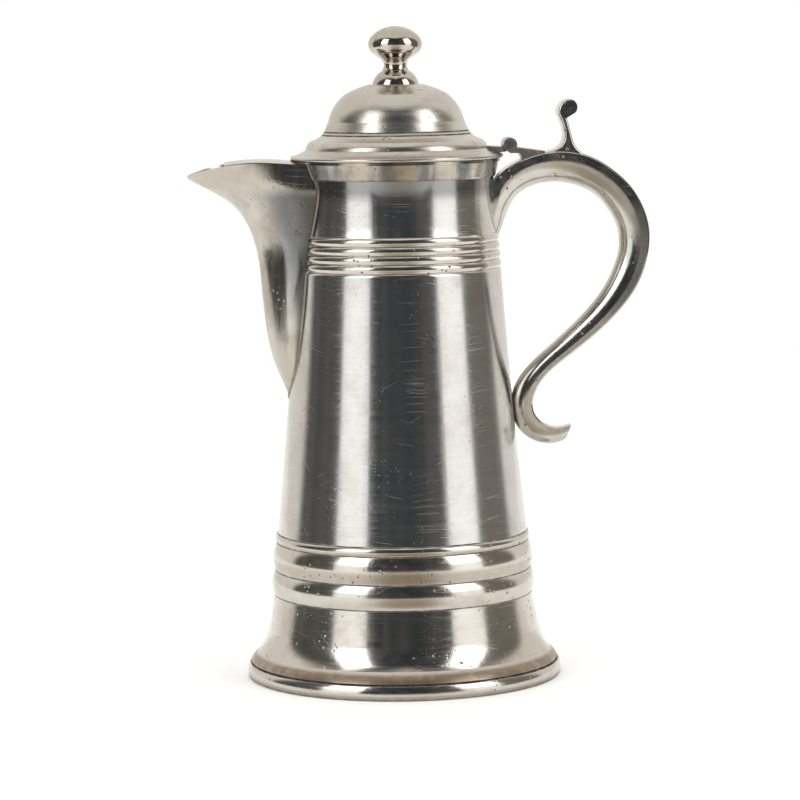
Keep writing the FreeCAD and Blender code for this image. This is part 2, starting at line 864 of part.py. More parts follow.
def make_lid_dome():
    """The dome, with two fine turned lines just above its foot."""
    outline = [at(d.dome_foot_r, d.dome_foot)]
    run = d.dome_side - d.dome_foot
    fall = d.dome_foot_r - d.dome_side_r
    for number in range(DOME_LINES):
        low = d.dome_line_pitch * number + d.dome_line_low
        for rise, cut in ((0, 0), (0.5, 1), (1, 0)):
            climb = low + d.dome_line_tall * rise
            part = climb.value / run.value
            bowed = part + mm.dome_line_bow * part * (1 - part)
            radius = d.dome_foot_r - fall * bowed - d.dome_line_deep * cut
            outline.append(at(radius, d.dome_foot + climb))
    outline += [
        at(d.dome_side_r, d.dome_side),
        via(d.dome_bend_r, d.dome_bend),
        at(d.dome_crown_r, d.dome_crown),
        via(d.dome_brow_r, d.dome_brow),
        at(d.dome_flat_r, d.dome_top),
        at(d.stud_r + d.stud_slack, d.dome_top),
        at(d.stud_r + d.stud_slack, d.dome_top - d.lid_wall),
        at(d.dome_flat_r, d.dome_top - d.lid_wall),
        via(d.dome_brow_r - d.lid_wall * INSIDE_BROW_IN, d.dome_brow - d.lid_wall),
        at(d.dome_crown_r - d.lid_wall * INSIDE_CROWN_IN, d.dome_crown - d.lid_wall),
        via(d.dome_bend_r - d.lid_wall, d.dome_bend - d.lid_wall * INSIDE_BEND_DOWN),
        at(d.dome_side_r - d.lid_wall, d.dome_side),
        at(d.dome_foot_r - d.lid_wall, d.dome_foot),
    ]
    return turned("lid_dome", outline)


def make_lid_bezel():
    """The ring under the lid that centres it in the mouth."""
    return turned("lid_bezel", [
        at(d.lid_bore_r, d.bezel_low),
        at(d.bezel_r, d.bezel_low),
        at(d.bezel_r, UNDERSIDE),
        at(d.lid_bore_r, UNDERSIDE),
    ])


def make_lid_core():
    """The lid's outside, filled in: what the hinge leaf is fitted against."""
    return turned("lid_core", [at(0, UNDERSIDE)] + LID_SIDE + [at(0, d.lid_cove)])


def make_knob():
    knob = turned("knob", [
        at(0, d.stud_top),
        at(d.stud_r + d.stud_slack, d.stud_top),
        at(d.stud_r + d.stud_slack, d.collar_top),
        at(d.collar_top_r, d.collar_top),
        via(d.waist_r, d.waist),
        at(d.waist_top_r, d.waist_top),
        at(d.ball_low_r, d.ball_low),
        via(d.ball_under_r, d.ball_under),
        at(d.ball_r, d.ball_mid),
        via(d.ball_over_r, d.ball_over),
        at(d.ball_high_r, d.ball_high),
        crown(),
        at(0, d.overall_tall),
    ])
    collar = turned("knob_collar", [
        at(d.stud_r + d.stud_slack, d.dome_top),
        at(d.collar_r, d.dome_top),
        via(d.collar_bulge_r, d.collar_bulge),
        at(d.collar_top_r, d.collar_top),
        at(d.stud_r + d.stud_slack, d.collar_top),
    ])
    ceiling = d.dome_top - d.lid_wall
    stud = turned("knob_stud", [
        at(0, ceiling - d.stud_head_tall),
        crown(),
        at(d.stud_head_r, ceiling),
        at(d.stud_r, ceiling),
        at(d.stud_r, d.stud_top),
        at(0, d.stud_top),
    ])
    return [knob, collar, stud]


# ---------------------------------------------------------------- hinge
def make_hinge_leaf(lid_core):
    """The lid's half of the hinge: a flat leaf, hollowed round the barrel, and one knuckle."""
    leaf = new_body("hinge_leaf_blank")
    pad(leaf, "leaf_plate", d.hinge_wide, [
        at(d.leaf_in, d.leaf_low),
        at(d.leaf_out, d.leaf_low_out),
        at(d.leaf_out, d.leaf_top_out),
        at(d.leaf_in, d.leaf_top_in),
    ])
    bore(leaf, "leaf_hollow", d.hinge_wide + d.overrun, d.barrel_r + d.barrel_gap)
    pad(leaf, "leaf_arm", d.knuckle_wide, [
        at(d.leaf_arm_in, d.leaf_arm_low),
        at(d.hinge_out, d.hinge_up - d.barrel_r),
        at(d.hinge_out, d.hinge_up),
        at(d.leaf_arm_in, d.leaf_top_out),
    ])
    pad_round(leaf, "leaf_knuckle", d.knuckle_wide, d.barrel_r)
    bore(leaf, "leaf_bore", d.knuckle_wide + d.overrun, d.pin_r + d.pin_slack)
    return boolean("Part::Cut", "hinge_leaf", leaf, lid_core)


def make_hinge_bracket(bulk):
    """The handle's half of the hinge: a wedge soldered on the handle, with two knuckles."""
    bracket = new_body("hinge_bracket_blank")
    pad(bracket, "bracket_wedge", d.hinge_wide, [
        at(d.hinge_out, d.bracket_under),
        at(d.bracket_cut, d.bracket_under),
        at(d.bracket_heel, d.bracket_heel_up),
        at(d.bracket_root_in, d.bracket_root),
        at(d.bracket_end, d.bracket_end_root),
        at(d.bracket_end, d.bracket_end_up),
        at(d.hinge_out + d.barrel_r, d.bracket_neck_up),
        at(d.hinge_out, d.hinge_up),
    ])
    pad_round(bracket, "bracket_barrel", d.hinge_wide, d.barrel_r)
    slot = d.knuckle_wide + d.knuckle_gap * 2
    bore(bracket, "bracket_slot", slot, d.barrel_r + d.barrel_gap)
    bore(bracket, "bracket_bore", d.hinge_wide + d.overrun, d.pin_r + d.ear_slack)
    return boolean("Part::Cut", "hinge_bracket", bracket, bulk)


def make_hinge_pin():
    pin = doc.addObject("Part::Cylinder", "hinge_pin")
    pin.Label = "hinge_pin"
    length = d.hinge_wide + d.pin_proud * 2
    pin.Placement = FreeCAD.Placement(V(0, 0, 0), FreeCAD.Rotation(V(1, 0, 0), -90))
    pin.setExpression("Radius", d.pin_r.text)
    pin.setExpression("Height", length.text)
    pin.setExpression("Placement.Base.x", d.hinge_out.text)
    pin.setExpression("Placement.Base.y", f"(0 - {length.text} / 2)")
    pin.setExpression("Placement.Base.z", d.hinge_up.text)
    doc.recompute()
    return pin


# ---------------------------------------------------------------- assembly
core = make_body_core()
lid_core = make_lid_core()
reeding_ring = make_reeding()
bulk, handle_halves = make_handle(core, reeding_ring)
spout_zone = solid("spout_zone", spout_solid(mm.flange_wide))
spout_bulk = solid("spout_bulk", spout_solid(0))
flange_blank = boolean("Part::Common", "flange_blank", make_flange_skin(), spout_zone)

pieces = [
    make_foot_rim(),
    make_foot(),
    *make_base_mouldings(),
    make_bottom_disc(),
    make_drum(),
    make_neck(),
    boolean("Part::Cut", "neck_reeding", reeding_ring, spout_zone),
    make_mouth_band(),
    *make_spout(core),
    boolean("Part::Cut", "spout_flange", flange_blank, spout_bulk),
    *handle_halves,
    make_thumb_rest(bulk),
    make_hinge_bracket(bulk),
    make_hinge_pin(),
    make_lid_rim(),
    make_lid_dome(),
    make_lid_bezel(),
    make_hinge_leaf(lid_core),
    *make_knob(),
]
doc.recompute()

for item in doc.Objects:
    bad = {"Invalid", "Error"} & set(item.State)
    assert not bad, f"{item.Label}: {item.State}"
for piece in pieces:
    shape = piece.Shape
    assert not shape.isNull() and shape.isValid(), piece.Label
    assert len(shape.Solids) == 1, f"{piece.Label}: {len(shape.Solids)} solids"
for piece in pieces:
    piece.Shape.exportStep(os.path.join("parts", piece.Label + ".step"))
    print(f"{piece.Label}: {piece.Shape.Volume:.0f} mm3")
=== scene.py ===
import math

import bpy
from mathutils import Matrix, Vector


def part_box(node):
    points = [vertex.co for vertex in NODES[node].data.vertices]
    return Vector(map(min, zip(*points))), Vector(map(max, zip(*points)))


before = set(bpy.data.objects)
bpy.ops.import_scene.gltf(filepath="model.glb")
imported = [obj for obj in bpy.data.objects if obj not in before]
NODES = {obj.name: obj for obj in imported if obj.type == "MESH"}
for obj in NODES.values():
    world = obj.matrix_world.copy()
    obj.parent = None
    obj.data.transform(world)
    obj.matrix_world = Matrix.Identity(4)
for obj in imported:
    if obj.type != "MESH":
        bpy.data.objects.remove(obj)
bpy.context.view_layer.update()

scene = bpy.context.scene
scene.view_settings.view_transform = "Standard"
FLOOR_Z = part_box("foot_rim")[0].z


# ---------------------------------------------------------------- node helpers
class Tree:
    """A small layer over a node tree: sockets are numbers, colours or other nodes' outputs."""

    def __init__(self, owner):
        owner.use_nodes = True
        self.nodes = owner.node_tree.nodes
        self.links = owner.node_tree.links

    def feed(self, socket, value):
        if isinstance(value, bpy.types.NodeSocket):
            self.links.new(value, socket)
        elif isinstance(value, (tuple, list)) and len(value) == 3 and socket.type == "RGBA":
            socket.default_value = (*value, 1.0)
        else:
            socket.default_value = value

    def add(self, kind, out=0, settings=None, **values):
        made = self.nodes.new(kind)
        for name, value in (settings or {}).items():
            setattr(made, name, value)
        for name, value in values.items():
            key = int(name[1:]) if name[1:].isdigit() else name.replace("_", " ")
            self.feed(made.inputs[key], value)
        return made.outputs[out]

    def math(self, operation, a, b=0.0):
        return self.add("ShaderNodeMath", settings={"operation": operation}, i0=a, i1=b)

    def ramp(self, value, low, high, to_low=0.0, to_high=1.0):
        """A smooth step of value from low to high."""
        return self.add("ShaderNodeMapRange", settings={"interpolation_type": "SMOOTHSTEP"},
                        i0=value, i1=low, i2=high, i3=to_low, i4=to_high)

    def mix(self, amount, a, b):
        """Colour a where amount is 0, and b where it is 1."""
        made = self.nodes.new("ShaderNodeMix")
        made.data_type = "RGBA"
        self.feed(made.inputs[0], amount)
        self.feed(made.inputs[6], a)
        self.feed(made.inputs[7], b)
        return made.outputs[2]

    def noise(self, vector, scale, detail=3.0, roughness=0.55):
        return self.add("ShaderNodeTexNoise", Vector=vector, Scale=scale, Detail=detail,
                        Roughness=roughness)

    def parts(self, vector):
        """The x, y and z of a vector."""
        made = self.nodes.new("ShaderNodeSeparateXYZ")
        self.links.new(vector, made.inputs[0])
        return made.outputs[0], made.outputs[1], made.outputs[2]

    def scaled(self, value, factor):
        return self.math("MULTIPLY", value, factor)

    def length(self, a, b):
        """The length of a flat vector."""
        return self.math("SQRT", self.math("ADD", self.math("MULTIPLY", a, a),
                                           self.math("MULTIPLY", b, b)))

    def stretched(self, vector, scale):
        return self.add("ShaderNodeVectorMath", settings={"operation": "MULTIPLY"},
                        i0=vector, i1=scale)


# ---------------------------------------------------------------- materials
# Lengths are in metres, noise scales in repeats per metre, colours linear.
# Dark brown of the dirt in pits and seams, and of the dirt and painted shade in corners.
DIRT_AND_CORNER_SHADE = (0.060, 0.042, 0.028)
BROWN = (0.28, 0.215, 0.155)
# Dark grey of the oxide patches on the mouth band, and of the painted shade on the neck, spout and
# handle.
OXIDE_AND_SHADE = (0.13, 0.135, 0.14)
DULLED = (0.84, 0.81, 0.77)
BRIGHTENED = 1.12

# Seams and grooves that hold dirt: the levels where the turned pieces meet.
GROOVES = [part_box(name)[1].z for name in (
    "foot_rim", "foot", "lower_base_reed", "upper_base_reed", "drum_foot_bead")]
LID_GROOVES = [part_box("lid_rim")[1].z + step for step in (0.0003, 0.0018)]

# Hairline scratches: slant (degrees), half length, half width, share of cells left empty.
HAIRLINES = (
    (3.0, 0.0080, 0.00006, 0.955),
    (-11.0, 0.0060, 0.00006, 0.970),
    (31.0, 0.0060, 0.00006, 0.994),
    (-50.0, 0.0055, 0.00006, 0.996),
)
NEEDLE = 0.22
WRAP_RADIUS = 0.055
BOW = 0.004
BOW_SCALE = 45.0

# Noise and cell scales, and how far from a corner its dirt and painted shade reach.
CLOUD_SCALE = 26.0
FINE_SCALE = 170.0
FILM_SCALE = 70.0
RUBBED_SCALE = 24.0
SWELL_SCALE = 18.0
PATCH_SCALE = 55.0
PIT_SCALE = 300.0
BRUISE_SCALE = 38.0
SPECK_SCALE = 520.0
WANDER_SCALE = 40.0
LATHE_LINES = (22.0, 22.0, 1700.0)
BAND_PATCHES = (65.0, 65.0, 14.0)
WIDE_SHARE = 0.22
CORNER_REACH = 0.0035

# How much each layer changes the colour, at full strength.
LINE_TINT = 0.6
STREAK_TINT = 0.30
FILM_TINT = 0.35

# How much each layer adds to the roughness.
CLOUD_ROUGH = 0.12
STREAK_ROUGH = (-0.03, 0.07)
WIDE_ROUGH = 0.03
LINE_ROUGH = 0.24
SPECK_ROUGH = 0.40
FILM_ROUGH = 0.16
SOIL_ROUGH = 0.45
# How much dirt takes from the metallic value.
SOIL_UNMETAL = 0.6

# Heights of the bump layers.
STREAK_DEEP = 6.0e-6
MARK_DEEP = 8.0e-6
DENT_DEEP = 6.0e-5
PIT_DEEP = 2.0e-4
WIDE_RELIEF = 0.8
FINE_RELIEF = 0.03

# Where the painted shade lies on the neck, spout and handle, and the dark oxide on the mouth band,
# and how strong they are.
NECK_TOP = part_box("mouth_band")[0].z
SPOUT_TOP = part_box("spout_near_half")[1].z
HANDLE_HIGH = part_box("handle_near_half")[1]
GRIP_RADIUS = 0.045
GRIP_CENTER = (HANDLE_HIGH.x - GRIP_RADIUS, HANDLE_HIGH.z - GRIP_RADIUS)
FLANGE_SHADE_X = (-0.078, -0.062)
FLANGE_SHADE_SLANT = 0.22
FLANGE_SHADE_WANDER = 0.012
SPOUT_SHADE = 0.93
SPOUT_RIM_SHADE = 0.15
HANDLE_SHADE = 0.62
NECK_SHADE = 0.66
BAND_SHADE = 0.85


def lower_dirt_and_shade(name, share, depth):
    """A brown band of dirt and painted shade over the lower share of a ring: its middle level,
    half height and depth.
    """
    low, high = (corner.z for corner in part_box(name))
    half = (high - low) * share / 2
    return low + half, half, depth


# Brown bands low on the base rings: partly dirt, partly painted shade on the lower faces of these
# rings.
BASE_DIRT_AND_SHADE = (
    lower_dirt_and_shade("upper_base_reed", 0.45, 0.45),
    lower_dirt_and_shade("drum_foot_bead", 0.4, 0.5),
    lower_dirt_and_shade("foot", 0.15, 1.0),
    lower_dirt_and_shade("foot_rim", 0.35, 0.6),
)


def spout_shade(tree, place):
    """Painted shade on the spout beside the flange, wider toward the top, faint at the rim: a dark
    band standing in for the darker reflection there.
    """
    x, _, z = tree.parts(place)
    wander = tree.scaled(tree.math("SUBTRACT", tree.noise(place, WANDER_SCALE), 0.5),
                         FLANGE_SHADE_WANDER)
    slant = tree.scaled(tree.math("SUBTRACT", z, SPOUT_TOP), FLANGE_SHADE_SLANT)
    edge = tree.math("ADD", tree.math("ADD", x, wander), slant)
    near_flange = tree.ramp(edge, *FLANGE_SHADE_X)
    under_top = tree.ramp(z, SPOUT_TOP - 0.010, SPOUT_TOP - 0.018, SPOUT_RIM_SHADE, SPOUT_SHADE)
    return tree.math("MULTIPLY", near_flange, under_top)


def handle_shade(tree, place):
    """Painted shade round the outer side of the grip: a dark band standing in for the dark
    reflection there.
    """
    x, _, z = tree.parts(place)
    sideways = tree.math("SUBTRACT", x, GRIP_CENTER[0])
    upward = tree.math("SUBTRACT", z, GRIP_CENTER[1])
    outer = tree.ramp(tree.length(sideways, upward), GRIP_RADIUS - 0.012,
                      GRIP_RADIUS - 0.003)
    right = tree.ramp(sideways, 0.004, 0.026)
    lower = tree.ramp(upward, -0.055, -0.020)
    mask = tree.math("MULTIPLY", tree.math("MULTIPLY", outer, right), lower)
    return tree.scaled(mask, HANDLE_SHADE)


def neck_shade(tree, place):
    """Painted shade under the mouth band, where the neck turns outward: a dark band standing in
    for the darker reflection there.
    """
    height = tree.parts(place)[2]
    return tree.ramp(height, NECK_TOP - 0.012, NECK_TOP - 0.005, 0.0, NECK_SHADE)


def band_shade(tree, place):
    """Dark tarnish left in upright patches on the mouth band."""
    patches = tree.noise(tree.stretched(place, BAND_PATCHES), 1.0)
    return tree.ramp(patches, 0.42, 0.60, 0.0, BAND_SHADE)


def hairlines(tree, place, wrapped):
    """Thin needles in long narrow cells, most of them empty; unwrapped is seen from the side."""
    x, y, along = tree.parts(place)
    across = tree.scaled(tree.math("ARCTAN2", y, x), WRAP_RADIUS) if wrapped else x
    bow = tree.scaled(tree.noise(place, BOW_SCALE, detail=0.0), BOW)
    lines = None
    for angle, length, width, empty in HAIRLINES:
        turn = math.radians(angle)
        along_line = tree.math("ADD", tree.scaled(across, math.cos(turn)),
                               tree.scaled(along, math.sin(turn)))
        over_line = tree.math("SUBTRACT", tree.scaled(along, math.cos(turn)),
                              tree.scaled(across, math.sin(turn)))
        over_line = tree.math("ADD", over_line, bow)
        cell = tree.add("ShaderNodeCombineXYZ", i0=tree.math("DIVIDE", along_line, length),
                        i1=tree.math("DIVIDE", over_line, width))
        needle = tree.nodes.new("ShaderNodeTexVoronoi")
        needle.voronoi_dimensions = "2D"
        tree.feed(needle.inputs["Vector"], cell)
        needle.inputs["Scale"].default_value = NEEDLE
        line = tree.ramp(needle.outputs["Distance"], NEEDLE, NEEDLE * 0.5)
        chance = tree.add("ShaderNodeSeparateColor", Color=needle.outputs["Color"])
        line = tree.math("MULTIPLY", line, tree.math("GREATER_THAN", chance, empty))
        lines = line if lines is None else tree.math("MAXIMUM", lines, line)
    rubbed = tree.ramp(tree.noise(place, RUBBED_SCALE, detail=2.0), 0.36, 0.60, 0.45, 1.0)
    return tree.math("MULTIPLY", lines, rubbed)


def pits_and_specks(tree, place):
    """Small dark pits gathered in patches, and pale specks where the surface is bruised."""
    patch = tree.ramp(tree.noise(place, PATCH_SCALE), 0.50, 0.66)
    holes = tree.add("ShaderNodeTexVoronoi", Vector=place, Scale=PIT_SCALE)
    pit = tree.math("MULTIPLY", tree.ramp(holes, 0.24, 0.10), patch)
    bruise = tree.ramp(tree.noise(place, BRUISE_SCALE, detail=2.0), 0.54, 0.68)
    grains = tree.add("ShaderNodeTexVoronoi", Vector=place, Scale=SPECK_SCALE)
    return pit, tree.math("MULTIPLY", tree.ramp(grains, 0.17, 0.07), bruise)


def pewter(name, color, rough, brush=0.5, brush_along=LATHE_LINES, anisotropic=0.0,
           patina=0.5, scratches=0.5, pits=0.3, grooves=(), groove_width=0.0005, corners=0.0,
           dirt_and_shade_bands=(), blotches=0.0, wrapped=True, shade=None):
    """Worn pewter: brushing, patina clouds, hairline scratches, pits and dirt in the grooves."""
    material = bpy.data.materials.new(name)
    tree = Tree(material)
    shader = tree.nodes["Principled BSDF"]
    place = tree.add("ShaderNodeTexCoord", out=3)
    height = tree.parts(place)[2]

    clouds = tree.noise(place, CLOUD_SCALE, detail=5.0, roughness=0.6)
    fine_clouds = tree.noise(place, FINE_SCALE, detail=4.0, roughness=0.7)
    streak = tree.noise(tree.stretched(place, brush_along), 1.0, roughness=0.75)
    wide_along = tuple(repeats * WIDE_SHARE for repeats in brush_along)
    wide_streak = tree.noise(tree.stretched(place, wide_along), 1.0)
    lines = tree.scaled(hairlines(tree, place, wrapped), scratches)
    pit, speck = pits_and_specks(tree, place)
    pit = tree.scaled(pit, pits)

    # dirt in the pits and the seams, dirt and painted shade in the corners
    soil_and_corner_shade = pit
    patchy = tree.ramp(fine_clouds, 0.30, 0.60, 0.5, 1.0)
    for level in grooves:
        away = tree.math("ABSOLUTE", tree.math("SUBTRACT", height, level))
        mark = tree.ramp(away, groove_width, groove_width * 0.2)
        soil_and_corner_shade = tree.math("MAXIMUM", soil_and_corner_shade, tree.math("MULTIPLY", mark, patchy))
    # darker where the surface is enclosed: dirt and painted shade in the corners
    if corners:
        enclosed = tree.add("ShaderNodeAmbientOcclusion", out=1, settings={"samples": 6},
                            Distance=CORNER_REACH)
        corner = tree.scaled(tree.ramp(enclosed, 0.70, 0.20), corners)
        corner = tree.math("MULTIPLY", corner, tree.ramp(fine_clouds, 0.25, 0.60, 0.5, 1.0))
        soil_and_corner_shade = tree.math("MAXIMUM", soil_and_corner_shade, corner)

    # brown film in clouds, and brown bands of dirt and painted shade
    film_and_shade = tree.ramp(tree.noise(place, FILM_SCALE, detail=5.0, roughness=0.65), 0.45, 0.70, 0.0,
                     FILM_TINT * patina + blotches)
    # bands of dirt and painted shade low on the rings
    for middle, half, depth in dirt_and_shade_bands:
        away = tree.math("ABSOLUTE", tree.math("SUBTRACT", height, middle))
        band = tree.math("MULTIPLY", tree.ramp(away, half * 1.2, half * 0.5, 0.0, depth),
                         tree.ramp(fine_clouds, 0.2, 0.6, 0.5, 1.0))
        film_and_shade = tree.math("MAXIMUM", film_and_shade, band)

    bright = tuple(value * BRIGHTENED for value in color)
    dull = tuple(value * share for value, share in zip(color, DULLED))
    tint = tree.mix(tree.ramp(clouds, 0.38, 0.64, 0.0, patina), color, dull)
    tint = tree.mix(tree.scaled(lines, LINE_TINT), tint, bright)
    tint = tree.mix(tree.ramp(streak, 0.35, 0.75, 0.0, STREAK_TINT * brush), tint, dull)
    tint = tree.mix(film_and_shade, tint, BROWN)
    # the shade function's mark: oxide patches on the mouth band, painted shade on the neck, spout
    # and handle
    if shade:
        tint = tree.mix(shade(tree, place), tint, OXIDE_AND_SHADE)
    tint = tree.mix(soil_and_corner_shade, tint, DIRT_AND_CORNER_SHADE)
    tree.feed(shader.inputs["Base Color"], tint)
    tree.feed(shader.inputs["Metallic"],
              tree.math("SUBTRACT", 1.0, tree.scaled(soil_and_corner_shade, SOIL_UNMETAL)))

    smoothest, roughest = STREAK_ROUGH
    gloss = tree.math("ADD", rough, tree.scaled(tree.math("SUBTRACT", clouds, 0.5),
                                                CLOUD_ROUGH * patina))
    gloss = tree.math("ADD", gloss,
                      tree.ramp(streak, 0.36, 0.68, smoothest, roughest * brush))
    gloss = tree.math("ADD", gloss, tree.ramp(wide_streak, 0.40, 0.66, 0.0, WIDE_ROUGH * brush))
    for layer, roughens in ((lines, LINE_ROUGH), (speck, SPECK_ROUGH), (film_and_shade, FILM_ROUGH),
                            (soil_and_corner_shade, SOIL_ROUGH)):
        gloss = tree.math("ADD", gloss, tree.scaled(layer, roughens))
    tree.feed(shader.inputs["Roughness"], gloss)
    if anisotropic:
        shader.inputs["Anisotropic"].default_value = anisotropic
        tangent = tree.add("ShaderNodeTangent", settings={"direction_type": "RADIAL", "axis": "Z"})
        tree.feed(shader.inputs["Tangent"], tangent)

    brushed = tree.math("ADD", streak, tree.scaled(wide_streak, WIDE_RELIEF))
    marks = tree.scaled(tree.math("ADD", lines, speck), -1.0)
    swells = tree.noise(place, SWELL_SCALE, detail=1.5)
    dents = tree.math("ADD", swells, tree.scaled(fine_clouds, FINE_RELIEF))
    bumped = tree.add("ShaderNodeBump", Strength=1.0, Distance=STREAK_DEEP * brush,
                      Height=brushed)
    for height_map, deep in ((marks, MARK_DEEP), (dents, DENT_DEEP * patina),
                             (tree.scaled(pit, -1.0), PIT_DEEP)):
        bumped = tree.add("ShaderNodeBump", Strength=1.0, Distance=deep, Normal=bumped,
                          Height=height_map)
    tree.feed(shader.inputs["Normal"], bumped)
    return material


WALL_LOOK = dict(color=(0.62, 0.605, 0.58), rough=0.15, brush=0.35, anisotropic=0.5,
                 patina=0.45, scratches=0.7, pits=0.10)
MATERIAL_LOOKS = {
    "body_pewter": dict(WALL_LOOK, grooves=GROOVES),
    "neck_pewter": dict(WALL_LOOK, shade=neck_shade),
    "turned_pewter": dict(color=(0.61, 0.58, 0.53), rough=0.14, brush=0.6, anisotropic=0.2,
                          patina=0.6, scratches=0.6, pits=0.9, grooves=GROOVES, corners=0.8,
                          dirt_and_shade_bands=BASE_DIRT_AND_SHADE),
    "band_pewter": dict(color=(0.50, 0.46, 0.40), rough=0.18, brush=0.8, patina=0.9,
                        scratches=0.8, pits=0.5, corners=0.8, blotches=0.15, shade=band_shade),
    "lid_pewter": dict(color=(0.60, 0.57, 0.52), rough=0.26, brush=0.6, anisotropic=0.2,
                       patina=0.7, scratches=0.8, pits=0.7, grooves=LID_GROOVES,
                       groove_width=0.0004, corners=0.8),
    "knob_pewter": dict(color=(0.57, 0.53, 0.47), rough=0.10, brush=0.3, patina=0.8,
                        scratches=0.6, pits=0.6, corners=0.7),
    "cast_pewter": dict(color=(0.55, 0.52, 0.475), rough=0.16, brush=0.8,
                        brush_along=(420.0, 260.0, 50.0), patina=1.0, scratches=1.0, pits=0.5,
                        corners=0.7, wrapped=False, shade=spout_shade),
    "handle_pewter": dict(color=(0.58, 0.56, 0.52), rough=0.15, brush=0.5,
                          brush_along=(200.0, 500.0, 200.0), patina=0.6, scratches=0.6,
                          pits=0.9, corners=0.8, wrapped=False, shade=handle_shade),
    "hinge_pewter": dict(color=(0.45, 0.43, 0.40), rough=0.30, brush=0.5,
                         brush_along=(300.0, 900.0, 300.0), patina=1.0, scratches=0.6,
                         pits=0.9, corners=0.9),
    "inside_pewter": dict(color=(0.42, 0.41, 0.39), rough=0.42, brush=0.6, patina=1.0,
                          scratches=0.3, pits=0.7),
    "solder": dict(color=(0.46, 0.43, 0.39), rough=0.32, brush=0.2, patina=1.0, scratches=0.3,
                   pits=0.8, corners=0.9),
    "pin_metal": dict(color=(0.22, 0.20, 0.18), rough=0.38, brush=0.4,
                      brush_along=(900.0, 60.0, 900.0), patina=1.0, scratches=0.3, pits=0.6),
}
MATERIALS = {name: pewter(name, **look) for name, look in MATERIAL_LOOKS.items()}

# Two nodes whose look differs from the rest of their slot.
OWN_MATERIAL = {"mouth_band": "band_pewter", "neck": "neck_pewter"}
for node_name, node in NODES.items():
    for slot in node.material_slots:
        slot_name = slot.material.name.split(".")[0]
        slot.material = MATERIALS[OWN_MATERIAL.get(node_name, slot_name)]


# ---------------------------------------------------------------- studio
ROOM_AHEAD = (0.032, 0.041, 0.052)
ROOM_LEFT = (0.082, 0.082, 0.083)
ROOM_RIGHT = (0.21, 0.195, 0.172)
ROOM_DRAPES = (0.30, 0.275, 0.24)
SWEEP = (0.95, 0.92, 0.875)
BACKGROUND = (1.0, 1.0, 1.0)
# Cosines of the azimuth from the camera's side: where the white sweep gives way to the room,
# and where the room ahead gives way to its sides.
SWEEP_END = (-0.48, -0.34)
AHEAD_END = (0.75, 0.0)
# The ceiling's edge rises with the way to the side and the way to the front.
CEILING_SIDE = 0.88
CEILING_FRONT = 1.5
CEILING_SOFT = 0.22
LEFT_TO_RIGHT = 0.2
DRAPE_FOLDS = (7.0, 7.0, 0.6)
DRAPE_SHARE = 0.3

# Side, azimuth in degrees from the camera's side, and width.
LAMP_SIDES = (("left", -49.5, 1.08), ("right", 55.5, 1.12))
# Kind, lowest and highest level, and radiance.
LAMP_KINDS = (("soft_box", 0.58, 2.45, 2.9), ("bounce", -0.35, 0.56, 1.4))
LAMP_DISTANCE = 2.0
SUN_ENERGY = 1.5
SUN_ANGLE = math.radians(70.0)

FLOOR_COLORS = ((0.90, 0.90, 0.895), (0.93, 0.93, 0.925))
FLOOR_GRAIN = 30.0
# A warm dark sheet in front, seen only in the pewter: painted shade on the reflected floor.
SHADE_SHEET_COLOR = (0.30, 0.25, 0.18)
TABLE_FRONT = -1.9
TABLE_BACK = 1.6
TABLE_SIDE = 0.9
SHADE_SHEET_START = -0.085
SHADE_SHEET_FULL = -0.135
SHADE_SHEET_Z = FLOOR_Z + 0.0004


def studio_world():
    """A white sweep behind and overhead, and the dim room on the camera's side."""
    world = bpy.data.worlds.new("studio")
    scene.world = world
    tree = Tree(world)
    look = tree.add("ShaderNodeTexCoord", out=0)
    x, y, z = tree.parts(look)
    flat = tree.math("MAXIMUM", tree.length(x, y), 0.001)
    ahead = tree.math("DIVIDE", tree.scaled(y, -1.0), flat)
    front = tree.ramp(ahead, *SWEEP_END)
    edge = tree.math("ADD", tree.scaled(tree.math("ABSOLUTE", x), CEILING_SIDE),
                     tree.scaled(y, -CEILING_FRONT))
    under_ceiling = tree.ramp(tree.math("SUBTRACT", z, edge), CEILING_SOFT, -CEILING_SOFT)
    beside = tree.mix(tree.ramp(x, -LEFT_TO_RIGHT, LEFT_TO_RIGHT), ROOM_LEFT, ROOM_RIGHT)
    room = tree.mix(tree.ramp(ahead, *AHEAD_END), ROOM_AHEAD, beside)
    drapes = tree.noise(tree.stretched(look, DRAPE_FOLDS), 1.0, detail=2.0)
    room = tree.mix(tree.ramp(drapes, 0.40, 0.72, 0.0, DRAPE_SHARE), room, ROOM_DRAPES)
    light = tree.mix(tree.math("MULTIPLY", front, under_ceiling), SWEEP, room)
    direct = tree.add("ShaderNodeLightPath", out=0)
    tree.feed(tree.nodes["Background"].inputs["Color"], tree.mix(direct, light, BACKGROUND))
    tree.nodes["Background"].inputs["Strength"].default_value = 1.0


def tall_light(name, azimuth, width, low, high, radiance):
    """An upright rectangular light that faces the object's axis."""
    lamp = bpy.data.lights.new(name, "AREA")
    lamp.shape = "RECTANGLE"
    lamp.size = width
    lamp.size_y = high - low
    lamp.energy = radiance * math.pi * width * (high - low)
    holder = bpy.data.objects.new(name, lamp)
    scene.collection.objects.link(holder)
    turn = math.radians(azimuth)
    outward = Vector((math.sin(turn), -math.cos(turn), 0.0))
    holder.location = outward * LAMP_DISTANCE + Vector((0.0, 0.0, (low + high) / 2))
    holder.rotation_mode = "QUATERNION"
    holder.rotation_quaternion = (-outward).to_track_quat("-Z", "Y")


def overhead_sun():
    """Soft light from straight above, which the pewter doesn't mirror."""
    sun = bpy.data.lights.new("overhead", "SUN")
    sun.energy = SUN_ENERGY
    sun.angle = SUN_ANGLE
    holder = bpy.data.objects.new("overhead", sun)
    scene.collection.objects.link(holder)
    holder.visible_glossy = False


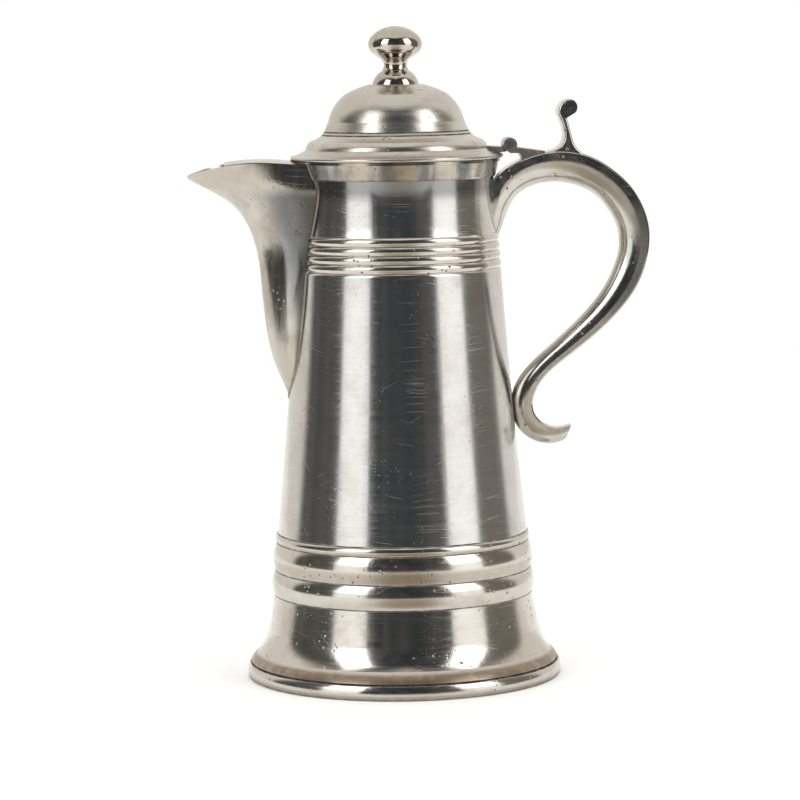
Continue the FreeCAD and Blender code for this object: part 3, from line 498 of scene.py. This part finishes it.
def floor_white():
    """Plain near-white board."""
    material = bpy.data.materials.new("floor_white")
    tree = Tree(material)
    shader = tree.nodes["Principled BSDF"]
    shader.inputs["Roughness"].default_value = 0.7
    shader.inputs["Specular IOR Level"].default_value = 0.1
    grain = tree.noise(tree.add("ShaderNodeTexCoord", out=3), FLOOR_GRAIN, detail=4.0)
    tree.feed(shader.inputs["Base Color"], tree.mix(grain, *FLOOR_COLORS))
    return material


def shade_sheet():
    """Matt warm dark sheet, painted shade on the floor's reflection, that fades out to the sides,
    toward the object and far in front.
    """
    material = bpy.data.materials.new("shade_sheet")
    tree = Tree(material)
    shader = tree.nodes["Principled BSDF"]
    shader.inputs["Roughness"].default_value = 0.9
    shader.inputs["Specular IOR Level"].default_value = 0.0
    tree.feed(shader.inputs["Base Color"], SHADE_SHEET_COLOR)
    x, y, _ = tree.parts(tree.add("ShaderNodeTexCoord", out=3))
    aside = tree.math("DIVIDE", tree.math("ABSOLUTE", x),
                      tree.math("MAXIMUM", tree.scaled(y, -1.0), 0.01))
    spread = tree.ramp(aside, 0.75, 0.15)
    started = tree.ramp(y, SHADE_SHEET_START, SHADE_SHEET_FULL)
    thinning = tree.ramp(y, -0.25, -0.9, 0.9, 0.55)
    tree.feed(shader.inputs["Alpha"], tree.math(
        "MULTIPLY", tree.math("MULTIPLY", spread, started), thinning))
    return material


def table_sheet(name, back, level, material):
    """A level rectangle from the table's front edge to y = back."""
    corners = [(-TABLE_SIDE, TABLE_FRONT, level), (TABLE_SIDE, TABLE_FRONT, level),
               (TABLE_SIDE, back, level), (-TABLE_SIDE, back, level)]
    mesh = bpy.data.meshes.new(name)
    mesh.from_pydata(corners, [], [(0, 1, 2, 3)])
    mesh.materials.append(material)
    sheet = bpy.data.objects.new(name, mesh)
    scene.collection.objects.link(sheet)
    return sheet


studio_world()
for kind, low, high, radiance in LAMP_KINDS:
    for side, azimuth, width in LAMP_SIDES:
        tall_light(kind + "_" + side, azimuth, width, low, high, radiance)
overhead_sun()
table_sheet("floor", TABLE_BACK, FLOOR_Z, floor_white())

# The warm dark sheet in front of the object shows only in the pewter, as painted shade on the
# reflected floor.
front_sheet = table_sheet("front_shade_sheet", SHADE_SHEET_START, SHADE_SHEET_Z, shade_sheet())
front_sheet.visible_camera = False
front_sheet.visible_shadow = False
front_sheet.visible_diffuse = False


# ---------------------------------------------------------------- camera
YAW = math.radians(2.5)
PITCH = math.radians(6.21)
ROLL = math.radians(-0.87)
SIDE_STEP = 0.000117
DISTANCE = 1.750
CAMERA_Z = 0.3318
LENS = 154.35
SENSOR = 36.0

camera = bpy.data.cameras.new("camera")
camera.sensor_width = SENSOR
camera.lens = LENS
camera_holder = bpy.data.objects.new("camera", camera)
scene.collection.objects.link(camera_holder)
level = Vector((math.sin(YAW), math.cos(YAW), 0.0))
camera_holder.location = level * -DISTANCE + Vector((0.0, 0.0, CAMERA_Z))
aim = level * math.cos(PITCH) - Vector((0.0, 0.0, math.sin(PITCH)))
aim = Matrix.Rotation(SIDE_STEP, 3, "Z") @ aim
camera_holder.rotation_mode = "QUATERNION"
camera_holder.rotation_quaternion = (
    aim.to_track_quat("-Z", "Y") @ Matrix.Rotation(ROLL, 3, "Z").to_quaternion())
scene.camera = camera_holder
